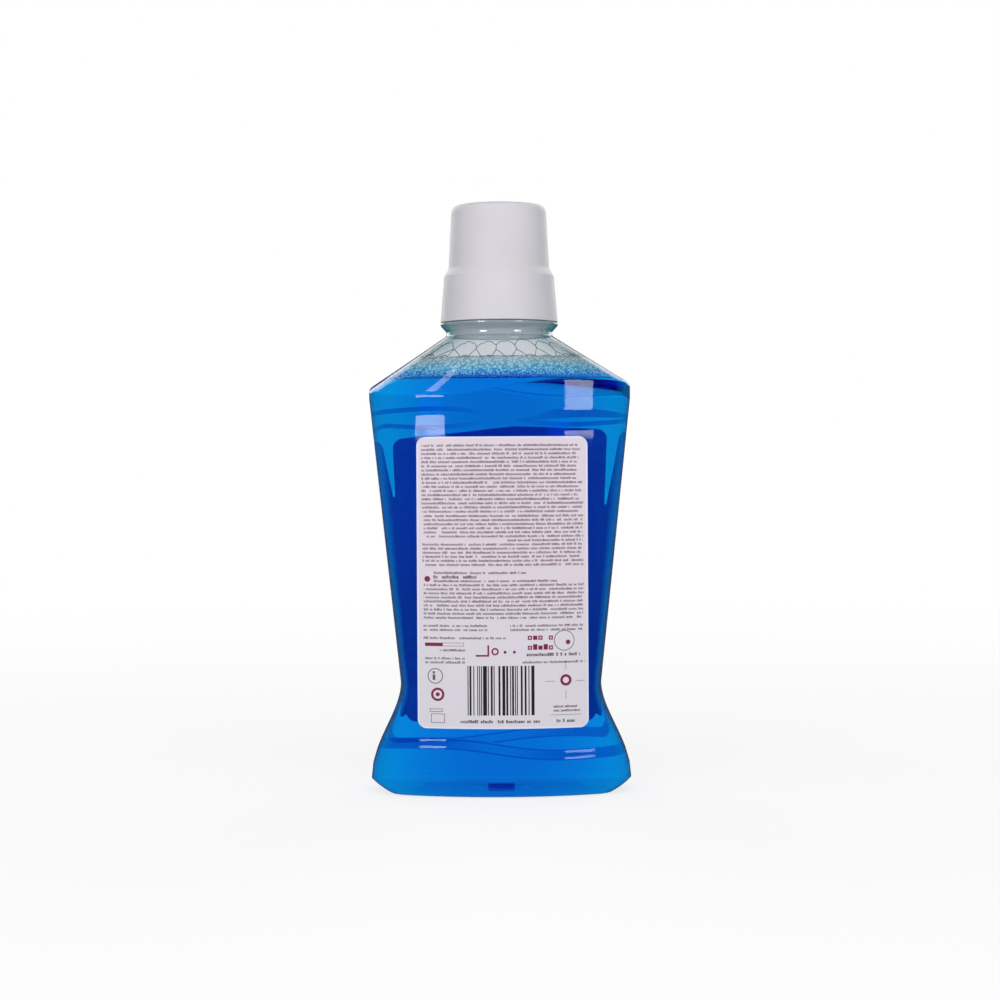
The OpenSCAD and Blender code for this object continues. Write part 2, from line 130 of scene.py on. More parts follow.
# Cap and seal
cap_z = ring_top_z + 0.3 * MM
cap_top_z = cap_z + 41.1 * MM
cap_top_r = 16.55 * MM
cup_r = 17.7 * MM
skirt_top_r = 19.3 * MM
skirt_r = 20.6 * MM
step_z = cap_z + 16.2 * MM
step_h = 2.7 * MM
cap_edge_r = 2.8 * MM
relief_r = 19.4 * MM
relief_h = 1.2 * MM
cup_mouth_r = 16.4 * MM
cup_floor_r = 15.5 * MM
cup_floor_z = cap_top_z - 1.3 * MM
cup_fillet_r = 2 * MM
fill_line_depth = 25 * MM
fill_line_t = 0.3 * MM
fill_line_soft = 0.1 * MM
cap_soft = 0.2 * MM
cap_step_soft = 0.15 * MM
lip_inner_soft = 0.25 * MM
lip_outer_soft = 0.35 * MM
seal_t = 0.8 * MM
seal_r = 17.9 * MM
seal_bore_r = 15.6 * MM
seal_soft = 0.15 * MM
seat_z = rim_z + seal_t

# Labels
label_t = 0.12 * MM
label_gap = 0.05 * MM
back_label_w = 58.6 * MM
back_label_h = 99.8 * MM
back_label_z = 73.6 * MM
back_label_x = 0.7 * MM
front_label_top_w = 68 * MM
front_label_low_w = 59 * MM
front_label_top_z = 127.3 * MM
front_label_low_z = 22.3 * MM
front_label_wave = 1.6 * MM
front_label_crown = 2.6 * MM
label_corner_r = 3 * MM
label_strips = 48
label_rows = 30
print_margin = 0.5 * MM
bar_w = 0.33 * MM
front_film_glow = 0.25

# Contents
liquid_z = 144.6 * MM
wetted_gap = 0.12 * MM
residue_low_z = 143.5 * MM
residue_full_z = 149 * MM
froth_dip = 1.1 * MM
froth_rise = 6.2 * MM
froth_dome_h = 0.8 * MM
froth_bulge = 0.5 * MM
fine_bubble = 1.1 * MM
coarse_bubble = 2.2 * MM
bubble_steepness = 1.6

# Films between the big bubbles. What stands in brackets is in mm: the middles of the bubbles in the
# back, measured from its middle, and the ranges of the others' heights and spacings.
film_r = 0.12 * MM
film_low_z = 150.8 * MM
film_top_z = 157.5 * MM
film_arch_z = 151 * MM
shortest_film = 0.3 * MM
film_steps = 6
film_arch = 0.06
top_film_arch = 0.2
film_run = 150 * MM
seen_bubbles = [(-12.3, 152.8), (-4.5, 152.5), (2.4, 152.9), (9.6, 154.2), (17.5, 153.2)]
others_start = 23 * MM
others_end = 19 * MM
front_reach_share = 0.28
back_bubble_z = (152, 153.6)
back_bubble_gap = (4, 6.5)
front_bubble_z = (150.6, 151.2)
front_bubble_gap = (6, 9)
small_bubble_z = (149.6, 150.3)
small_n = 24
back_border_z = (158.2, 158.8)
front_border_z = 154.5 * MM
top_border_n = 36
low_border_z = 148.4 * MM
low_border_n = 48

# Fineness
turned_n = 128
shell_fine = 3
froth_fine = 7
longest_arm = 0.45
guard_reach = 1.1
froth_rows = 18

# Picture
camera_y = -806 * MM
camera_z = 109.3 * MM
camera_lens = 82.37
camera_dip = math.radians(0.55)
camera_roll = math.radians(0.3)
lamp_aim_z = 100 * MM
lamp_reach = 1200 * MM
floor_r = 30
floor_z = -0.2 * MM


def mm(*values):
    return [v * MM for v in values]


def lerp(a, b, t):
    return a + (b - a) * t


def flare_share(z):
    """How far the flare has run from the waist, 0, to the foot, 1."""
    return np.sin(np.pi / 2 * np.clip((waist_z - z) / (waist_z - foot_z), 0, 1)) ** flare_ease


def along_body(z, at_foot, at_waist, at_band):
    """A size of the body at a height, from what it is at the foot, the waist and the band."""
    up = lerp(at_waist, at_band, np.clip((z - waist_z) / (band_z - waist_z), 0, 1))
    return np.where(z > waist_z, up, lerp(at_waist, at_foot, flare_share(z)))


def width_at(z):
    return along_body(z, foot_w, waist_w, body_w)


def corner_at(z):
    return along_body(z, foot_corner_r, waist_corner_r, shoulder_corner_r)


def corner_middle(w, d, r):
    """Middle of the corner arc that touches both the face arc and the side arc."""
    face_y = d / 2 - face_r
    side_x = w / 2 - side_r
    span = np.hypot(side_x, face_y)
    along_x = side_x / span
    along_y = -face_y / span
    near = face_r - r
    far = side_r - r
    a = (near**2 - far**2 + span**2) / (2 * span)
    b = np.sqrt(near**2 - a**2)
    return a * along_x + b * along_y, face_y + a * along_y - b * along_x


def face_inset_at(z, lift):
    """How far the rounding towards the base sets the faces in, on a skin lifted off the base."""
    drop = (face_round_h - z) / (face_round_h - lift)
    return base_face_inset * (1 - np.sqrt(1 - drop**2))


class Skin:
    """Rings round the body, each of the same number of points, counter-clockwise from +X."""

    def __init__(self, fine, inset=0.0):
        self.side_n = 3 * fine
        self.corner_n = 4 * fine
        self.face_n = 9 * fine
        quarter_n = self.side_n + self.corner_n + self.face_n
        place = np.arange(4 * quarter_n)
        quarter = place // quarter_n
        k = place - quarter * quarter_n
        self.k = np.where(quarter % 2 == 0, k, quarter_n - k)
        self.flip_x = np.where((quarter == 1) | (quarter == 2), -1, 1)
        self.flip_y = np.where(quarter >= 2, -1, 1)
        self.inset = 0.0
        x, y = self.outline(body_w, body_d, shoulder_corner_r)
        self.angle = np.arctan2(y, x)
        self.swing = np.sin(2 * self.angle)
        self.inset = inset

    def outline(self, w, d, r):
        """The outline of that width, depth and corner radius, set in from it by the skin's inset."""
        corner_x, corner_y = corner_middle(w, d, r)
        face_y = d / 2 - face_r
        side_x = w / 2 - side_r
        side_a = np.arctan2(corner_y, corner_x - side_x)
        face_a = np.arctan2(corner_y - face_y, corner_x)
        on_side = self.k <= self.side_n
        on_face = self.k > self.side_n + self.corner_n
        a = np.where(on_side, side_a * self.k / self.side_n,
                     lerp(side_a, face_a, (self.k - self.side_n) / self.corner_n))
        along_face = (self.k - self.side_n - self.corner_n) / self.face_n
        a = np.where(on_face, lerp(face_a, np.pi / 2, along_face), a)
        mid_x = np.where(on_side, side_x, np.where(on_face, 0, corner_x))
        mid_y = np.where(on_side, 0, np.where(on_face, face_y, corner_y))
        reach = np.where(on_side, side_r, np.where(on_face, face_r, r)) - self.inset
        return self.flip_x * (mid_x + reach * np.cos(a)), self.flip_y * (mid_y + reach * np.sin(a))

    def ring(self, xy, z):
        return np.column_stack([xy[0], xy[1], np.broadcast_to(z, self.k.shape)])

    def body(self, z, wave=0.0, recess=0.0):
        """The body at a mean height that swings by wave, recessed on its faces."""
        h = z + wave * self.swing
        return self.ring(self.outline(width_at(h), body_d - 2 * recess, corner_at(h)), h)

    def edge(self):
        """The upright ring just under the shoulder edge."""
        z = shoulder_z - shoulder_wave * self.swing - shoulder_edge_r - shoulder_drop_share * self.inset
        return self.ring(self.outline(body_w, body_d, shoulder_corner_r), z)

    def shoulder(self, t):
        """The shoulder, from its edge at 0 straight to the neck's root at 1."""
        xy = self.outline(body_w - 2 * shoulder_edge_r, body_d - 2 * shoulder_edge_r,
                          shoulder_corner_r - shoulder_edge_r)
        low = self.ring(xy, shoulder_z - shoulder_wave * self.swing - shoulder_drop_share * self.inset)
        return lerp(low, self.round(neck_r - self.inset, neck_root_z - shoulder_drop_share * self.inset), t)

    def level(self, z):
        """The shoulder cut level at one height."""
        low = self.shoulder(0)
        high = self.shoulder(1)
        return lerp(low, high, ((z - low[:, 2]) / (high[:, 2] - low[:, 2]))[:, None])

    def base(self, side_in, face_in, z):
        """A ring of the base, set in by separate amounts towards the sides and the faces."""
        return self.ring(self.outline(foot_w - 2 * side_in, body_d - 2 * face_in,
                                      foot_corner_r - face_in), z)

    def round(self, r, z):
        return self.ring((r * np.cos(self.angle), r * np.sin(self.angle)), z)

    def up_to_edge(self, lift):
        """Rings with their softening: from the base's middle, lifted, up to the shoulder edge."""
        stand = self.base(base_side_inset + stand_w, base_face_inset + stand_w, 0)
        chain = []
        for s in (0, 0.15, 0.3, 0.45, 0.6, 0.75, 0.88):
            rise = lift + push_up_h * (1 - s * s)
            chain.append((stand * [s, s, 0] + [0, 0, rise], 0))
        chain.append((stand + [0, 0, lift], crease_soft))
        for t in np.linspace(1, 0, 9)[:-1]:
            side_in = base_side_inset * lerp(1 - np.cos(np.pi / 2 * t), t, slant_share)
            down = lerp(np.sin(np.pi / 2 * t), t, slant_share)
            z = foot_z - (foot_z - lift) * down
            chain.append((self.base(side_in, face_inset_at(z, lift), z), edge_soft if t == 1 else 0))
        chain.append((self.body(foot_z, 0, face_inset_at(foot_z, lift)), 0))
        chain.append((self.body(lerp(foot_z, ledge_z, 0.5), ledge_wave / 2), 0))
        chain.append((self.body(ledge_z, ledge_wave), crease_soft))
        chain.append((self.body(ledge_top_z, ledge_wave, panel_recess), crease_soft))
        for s in np.linspace(0, 1, 14)[1:-1]:
            chain.append((self.body(lerp(ledge_top_z, waist_z, s), ledge_wave * (1 - s), panel_recess), 0))
        chain.append((self.body(waist_z, 0, panel_recess), crease_soft))
        for s in np.linspace(0, 1, 16)[1:-1]:
            chain.append((self.body(lerp(waist_z, panel_top_z, s), panel_top_wave * s * s, panel_recess), 0))
        chain.append((self.body(panel_top_z, panel_top_wave, panel_recess), crease_soft))
        chain.append((self.body(step_top_z, panel_top_wave), crease_soft))
        share = (band_z - step_top_z) / (shoulder_z - shoulder_edge_r - step_top_z)
        chain.append((self.body(band_z, lerp(panel_top_wave, -shoulder_wave, share)), 0))
        chain.append((self.edge(), edge_soft))
        return chain


def softened(chain, steps=3):
    """The rings of a chain of (ring, radius), with each crease of some radius rounded by a curve.

    An arm runs from the crease to either end of its curve, and a guard ring lies just past each end."""
    rings = []
    for i, (at, soft) in enumerate(chain):
        if not soft:
            rings.append(at)
            continue
        arms = []
        for other in (chain[i - 1][0], chain[(i + 1) % len(chain)][0]):
            gap = np.linalg.norm(other - at, axis=1, keepdims=True)
            arms.append((other - at) * np.minimum(soft / np.maximum(gap, 1e-9), longest_arm))
        rings.append(at + arms[0] * guard_reach)
        for t in np.linspace(0, 1, steps + 1):
            rings.append(at + arms[0] * (1 - t) ** 2 + arms[1] * t**2)
        rings.append(at + arms[1] * guard_reach)
    return rings


def deselect():
    if bpy.context.object and bpy.context.object.mode != "OBJECT":
        bpy.ops.object.mode_set(mode="OBJECT")
    bpy.ops.object.select_all(action="DESELECT")


def edit_all():
    """Opens the active piece in edit mode, with all of it selected."""
    bpy.ops.object.mode_set(mode="EDIT")
    bpy.ops.mesh.select_all(action="SELECT")


def closed(piece):
    """Merges a piece's seams and poles and turns its faces outwards."""
    edit_all()
    bpy.ops.mesh.remove_doubles(threshold=2e-7)
    bpy.ops.mesh.delete_loose(use_verts=True, use_edges=True, use_faces=False)
    bpy.ops.mesh.select_all(action="SELECT")
    bpy.ops.mesh.normals_make_consistent(inside=False)
    bpy.ops.object.mode_set(mode="OBJECT")
    bpy.ops.object.shade_smooth()
    return piece


def sort_faces(piece, is_second):
    """Gives a piece's second material to the faces that pass a test."""
    piece.data.materials.append(None)
    piece.data.materials.append(None)
    for p in piece.data.polygons:
        p.material_index = int(is_second(p))


def notched(piece):
    """Presses in the small notch low in the back."""
    for v in piece.data.vertices:
        low = notch_z < v.co.z < notch_z + notch_h
        if low and v.co.y < 0 and abs(v.co.x) < notch_w / 2:
            v.co.y += notch_depth
    return piece


def wrapped(name, rings):
    """A closed skin: a flat grid wrapped so that each of its rows lies on one ring."""
    deselect()
    bpy.ops.mesh.primitive_grid_add(x_subdivisions=len(rings[0]), y_subdivisions=len(rings) - 1)
    piece = bpy.context.object
    piece.name = piece.data.name = name
    places = np.concatenate([np.vstack([ring, ring[:1]]) for ring in rings])
    piece.data.vertices.foreach_set("co", places.ravel())
    return closed(piece)


def turned(name, profile):
    """A turned piece: its profile of (radius, height), spun about the axis."""
    deselect()
    bpy.ops.mesh.primitive_circle_add(vertices=len(profile), fill_type="NOTHING")
    piece = bpy.context.object
    piece.name = piece.data.name = name
    places = np.array([(r, 0, z) for r, z in profile])
    piece.data.vertices.foreach_set("co", places.ravel())
    edit_all()
    bpy.ops.mesh.spin(steps=turned_n, angle=2 * math.pi, center=(0, 0, 0), axis=(0, 0, 1))
    bpy.ops.object.mode_set(mode="OBJECT")
    return closed(piece)


def rounded_profile(corners, steps=4):
    """The profile through corners of (radius, height, softening)."""
    chain = [(np.array([[r, 0, z]]), soft) for r, z, soft in corners]
    return [(ring[0, 0], ring[0, 2]) for ring in softened(chain, steps)]


def joined(main, others):
    """Several pieces made one, under the first one's name."""
    deselect()
    for piece in others + [main]:
        piece.select_set(True)
    bpy.context.view_layer.objects.active = main
    bpy.ops.object.join()
    return main


def thread(name, wall_r, crest_r, mid_z, start, turn):
    """A screw thread of one start, whose ends fade into the wall that it stands on."""
    outward = 1 if crest_r > wall_r else -1
    root_r = wall_r - outward * thread_bury
    hidden_r = wall_r - outward * thread_bury / 2
    steps = round(turn / thread_step)
    rings = []
    for i in range(steps + 1):
        along = turn * i / steps
        fade = min(1, min(along, turn - along) / thread_fade)
        z = mid_z + thread_lead * along / (2 * math.pi)
        r = lerp(hidden_r, crest_r, math.sin(fade * math.pi / 2))
        corners = [(root_r, z - thread_root_h / 2, 0), (r, z - thread_crest_h / 2, thread_soft),
                   (r, z + thread_crest_h / 2, thread_soft), (root_r, z + thread_root_h / 2, 0)]
        section = np.array(rounded_profile(corners, 3))
        if i in (0, steps):
            section = np.broadcast_to(section.mean(0), section.shape)
        reach, height = section.T
        a = start + along
        rings.append(np.column_stack([reach * math.cos(a), reach * math.sin(a), height]))
    return wrapped(name, rings)


def thread_set(name, wall_r, crest_r, mid_z, first, turn):
    return [thread(f"{name}_{i}", wall_r, crest_r, mid_z, first + 2 * math.pi * i / thread_starts, turn)
            for i in range(thread_starts)]


neck_thread_z = (ring_top_z + rim_z) / 2 - thread_lead * neck_thread_turn / (4 * math.pi)
thread_drop = (thread_root_h + thread_crest_h) / 2 + flank_gap
cap_thread_lag = neck_thread_turn - cap_thread_turn


def is_inside(face):
    """Whether a face of the bottle is on the inside of its wall."""
    if face.center.z > neck_root_z:
        return face.center.xy.length < bore_r + bore_near
    return face.normal.dot(face.center - Vector((0, 0, core_z))) < 0


def make_bottle():
    out = Skin(shell_fine)
    inside = Skin(shell_fine, wall)
    chain = out.up_to_edge(0)
    chain += [(out.shoulder(0), edge_soft), (out.shoulder(0.33), 0), (out.shoulder(0.67), 0)]
    neck = [(neck_r, neck_root_z, 0.5), (neck_r, ring_z, 0.3), (ring_r, ring_top_z - ring_edge_h, 0.3),
            (ring_r, ring_top_z, 0.25), (finish_r, ring_top_z, 0.4), (finish_r, rim_z - rim_chamfer, 0.15),
            (finish_r - rim_chamfer, rim_z, 0.15), (bore_r, rim_z, 0.15), (bore_r, neck_root_z, 0.6)]
    for r, z, soft in neck:
        chain.append((out.round(r, z), soft * MM))
    chain.append((inside.shoulder(1), 0))
    chain += [(inside.shoulder(t), 0) for t in (0.67, 0.33)]
    chain.append((inside.shoulder(0), edge_soft))
    chain += inside.up_to_edge(floor_t)[::-1]
    shell = notched(wrapped("clear_bottle", softened(chain)))
    threads = thread_set("neck_thread", finish_r, neck_crest_r, neck_thread_z, 0, neck_thread_turn)
    bottle = joined(shell, threads)
    sort_faces(bottle, is_inside)
    return bottle


def make_liquid():
    skin = Skin(shell_fine, wetted_gap)
    chain = skin.up_to_edge(wetted_gap)
    chain.append((skin.shoulder(0), edge_soft))
    top = skin.level(liquid_z)
    chain.append((top, 0))
    for s in (0.985, 0.8, 0.55, 0.3, 0):
        chain.append((top * [s, s, 1], 0))
    return notched(wrapped("blue_mouthwash", softened(chain)))


def bubbled(piece, finest, coarsest, low_z, high_z):
    """Swells a piece's surface into bubbles, finest at low_z and coarsest at high_z."""
    def spacing(z):
        return lerp(finest, coarsest, min(max((z - low_z) / (high_z - low_z), 0), 1))

    vertices = piece.data.vertices
    order = list(range(len(vertices)))
    random.Random(5).shuffle(order)
    middles = {}
    for i in order:
        co = vertices[i].co
        step = spacing(co.z)
        middles.setdefault(tuple(int(c // step) for c in co), co.copy())
    tree = kdtree.KDTree(len(middles))
    for i, co in enumerate(middles.values()):
        tree.insert(co, i)
    tree.balance()
    moves = []
    for v in vertices:
        (_, _, near), (_, _, far) = tree.find_n(v.co, 2)
        size = spacing(v.co.z)
        back = min((far - near) / size * bubble_steepness, 1)
        moves.append(v.normal * froth_bulge * size / coarsest * math.sqrt(1 - (1 - back) ** 2))
    for v, move in zip(vertices, moves):
        v.co += move


def make_froth():
    skin = Skin(froth_fine, wetted_gap + froth_bulge)
    low = liquid_z - froth_dip
    high = liquid_z + froth_rise
    wall_rings = [skin.level(z) for z in np.linspace(low, high, froth_rows)]
    shares = np.append(np.linspace(1, 0.7, 16)[1:], (0.5, 0.25, 0))
    under = [wall_rings[0] * [s, s, 1] for s in shares[::-1]]
    over = [wall_rings[-1] * [s, s, 1] + [0, 0, froth_dome_h * (1 - s * s)] for s in shares]
    froth = wrapped("froth", under + wall_rings + over)
    bubbled(froth, fine_bubble, coarse_bubble, low, high)
    return froth


def wall_place(skin, along, z):
    """The place on the shoulder's inside at a height and a share of the way round from the back's middle."""
    ring = skin.level(z)
    start = np.argmin(np.abs(ring[:, 0]) + (ring[:, 1] > 0))
    ring = np.roll(ring, -start, 0)
    ring = np.vstack([ring, ring[:1]])
    run = np.concatenate([[0], np.cumsum(np.linalg.norm(np.diff(ring, axis=0), axis=1))])
    at = along % 1 * run[-1]
    return Vector([np.interp(at, run, ring[:, k]) for k in range(3)])


def place_bubbles():
    """The bubbles' middles as (share of the way round from the back's middle, height), and their count.

    Past that count come points that only close the bubbles in above and below."""
    rng = random.Random(11)
    middles = [(x * MM / film_run, z * MM) for x, z in seen_bubbles]
    at = others_start / film_run
    while at < 1 - others_end / film_run:
        on_back = abs(at - 0.5) > front_reach_share
        middles.append((at, rng.uniform(*(back_bubble_z if on_back else front_bubble_z)) * MM))
        at += rng.uniform(*(back_bubble_gap if on_back else front_bubble_gap)) * MM / film_run
    for i in range(small_n):
        middles.append(((i + rng.uniform(-0.35, 0.35)) / small_n, rng.uniform(*small_bubble_z) * MM))
    real_n = len(middles)
    for i in range(top_border_n):
        on_back = abs(i / top_border_n - 0.5) > front_reach_share
        z = rng.uniform(*back_border_z) * MM if on_back else front_border_z
        middles.append((i / top_border_n, z))
    middles += [(i / low_border_n, low_border_z) for i in range(low_border_n)]
    return middles, real_n


def meeting_point(a, b, c):
    """Where the films between three bubbles meet, equally far from the three middles."""
    area = 2 * (a.x * (b.y - c.y) + b.x * (c.y - a.y) + c.x * (a.y - b.y))
    aa, bb, cc = a.length_squared, b.length_squared, c.length_squared
    x = (aa * (b.y - c.y) + bb * (c.y - a.y) + cc * (a.y - b.y)) / area
    y = (aa * (c.x - b.x) + bb * (a.x - c.x) + cc * (b.x - a.x)) / area
    return Vector((x, y))


def placed(name, data):
    """A new object in the scene for a lamp's, a camera's or a curve's data."""
    made = bpy.data.objects.new(name, data)
    bpy.context.scene.collection.objects.link(made)
    return made


def make_films():
    """The thin films between the big bubbles that stand on the froth against the shoulder."""
    skin = Skin(shell_fine, wetted_gap + 2 * film_r)
    cells, real_n = place_bubbles()
    points = []
    for lap in (-1, 0, 1):
        points += [Vector(((a + lap) * film_run, z)) for a, z in cells]
    whole = geometry.delaunay_2d_cdt(points, [], [], 0, 1e-9)
    corners = {}
    for face in whole[2]:
        meeting = meeting_point(*(whole[0][i] for i in face))
        for pair in ((0, 1), (1, 2), (2, 0)):
            key = tuple(sorted((face[pair[0]], face[pair[1]])))
            corners.setdefault(key, []).append(meeting)
    curve = bpy.data.curves.new("bubble_films", "CURVE")
    curve.dimensions = "3D"
    curve.bevel_depth = film_r
    curve.bevel_resolution = 1
    curve.use_fill_caps = True
    n = len(cells)
    for (i, j), ends in corners.items():
        first, second = whole[3][i][0], whole[3][j][0]
        is_real = [k % n < real_n for k in (first, second)]
        if len(ends) != 2 or not any(is_real):
            continue
        middle = (ends[0] + ends[1]) / 2
        length = (ends[0] - ends[1]).length
        if not 0 <= middle.x < film_run or length < shortest_film or middle.y < film_low_z:
            continue
        is_top = not all(is_real) and middle.y > film_arch_z
        arch = (top_film_arch if is_top else film_arch) * length
        spline = curve.splines.new("POLY")
        spline.points.add(film_steps)
        for step in range(film_steps + 1):
            t = step / film_steps
            p = ends[0].lerp(ends[1], t)
            z = min(max(p.y + arch * 4 * t * (1 - t), film_low_z - film_r), film_top_z)
            place = wall_place(skin, p.x / film_run, z)
            spline.points[step].co = (*place, 1)
    piece = placed("bubble_films", curve)
    deselect()
    piece.select_set(True)
    bpy.context.view_layer.objects.active = piece
    bpy.ops.object.convert(target="MESH")
    return bpy.context.object


def make_cap():
    slope = (cup_mouth_r - cup_floor_r) / (cup_floor_z - seat_z)
    line_z = cup_floor_z - fill_line_depth
    line_r = cup_floor_r + slope * fill_line_depth
    corners = [
        (0, cup_floor_z, 0),
        (cup_floor_r, cup_floor_z, cup_fillet_r),
        (line_r - slope * fill_line_t, line_z + fill_line_t, fill_line_soft),
        (line_r - fill_line_t, line_z, fill_line_soft),
        (line_r + slope * fill_line_t, line_z - fill_line_t, fill_line_soft),
        (cup_mouth_r, seat_z, cap_soft),
        (skirt_bore_r, seat_z, cap_soft),
        (skirt_bore_r, cap_z + relief_h + relief_r - skirt_bore_r, cap_soft),
        (relief_r, cap_z + relief_h, cap_soft),
        (relief_r, cap_z, lip_inner_soft),
        (skirt_r, cap_z, lip_outer_soft),
        (skirt_top_r, step_z, cap_step_soft),
        (cup_r, step_z + step_h, cap_soft),
        (cap_top_r, cap_top_z, cap_edge_r),
        (0, cap_top_z, 0),
    ]
    cap = turned("dosing_cap", rounded_profile(corners))
    first = neck_thread_z - thread_drop + thread_lead * cap_thread_lag / (2 * math.pi)
    threads = thread_set("cap_thread", skirt_bore_r, cap_crest_r, first, cap_thread_lag, cap_thread_turn)
    return joined(cap, threads)


def make_seal():
    corners = [(seal_bore_r, rim_z, seal_soft), (seal_r, rim_z, seal_soft),
               (seal_r, seat_z, seal_soft), (seal_bore_r, seat_z, seal_soft)]
    return turned("seal_ring", rounded_profile(corners))


def face_swing(x):
    return math.sin(2 * math.atan2(body_d / 2 - panel_recess, x))


def label_sheet(name, place, facing):
    """A thin label: a sheet with rounded corners, cut into narrow strips, laid on the label panel.

    place(u, v) gives its outline in X and Z for u and v from -1 to 1; facing is -1 for the back."""
    deselect()
    bpy.ops.mesh.primitive_plane_add(size=2)
    piece = bpy.context.object
    piece.name = piece.data.name = name
    w = (place(1, 0)[0] - place(-1, 0)[0]) / 2
    h = (place(0, 1)[1] - place(0, -1)[1]) / 2
    for v in piece.data.vertices:
        v.co = (v.co.x * w, v.co.y * h, 0)
    edit_all()
    bpy.ops.mesh.bevel(offset=label_corner_r, offset_type="OFFSET", segments=8, affect="VERTICES")
    for axis, half, count in ((0, w, label_strips), (1, h, label_rows)):
        for i in range(1, count):
            at = [0, 0, 0]
            at[axis] = half * (2 * i / count - 1)
            normal = [0, 0, 0]
            normal[axis] = 1
            bpy.ops.mesh.select_all(action="SELECT")
            bpy.ops.mesh.bisect(plane_co=at, plane_no=normal, threshold=1e-7)
    bpy.ops.object.mode_set(mode="OBJECT")
    r = face_r + label_gap
    middle = body_d / 2 - panel_recess - face_r
    for v in piece.data.vertices:
        x, z = place(v.co.x / w, v.co.y / h)
        v.co = (x, facing * (middle + math.sqrt(r * r - x * x)), z)
    edit_all()
    bpy.ops.mesh.normals_make_consistent(inside=False)
    bpy.ops.object.mode_set(mode="OBJECT")
    if sum(p.normal.y * facing for p in piece.data.polygons) < 0:
        piece.data.flip_normals()
    thicken = piece.modifiers.new("thickness", "SOLIDIFY")
    thicken.thickness = label_t
    thicken.offset = 1
    bpy.ops.object.modifier_apply(modifier="thickness")
    bpy.ops.object.shade_smooth_by_angle(angle=math.radians(40))
    sort_faces(piece, lambda p: p.normal.y * facing < -0.5)
    return piece


def make_back_label():
    def place(u, v):
        return back_label_x + u * back_label_w / 2, back_label_z + v * back_label_h / 2
    return label_sheet("back_label_film", place, -1)


def make_front_label():
    def place(u, v):
        w = lerp(front_label_low_w, front_label_top_w, (v + 1) / 2)
        x = u * w / 2
        top = front_label_top_z + front_label_wave * face_swing(x) - front_label_crown * u * u
        return x, lerp(front_label_low_z, top, (v + 1) / 2)
    return label_sheet("front_label_film", place, 1)


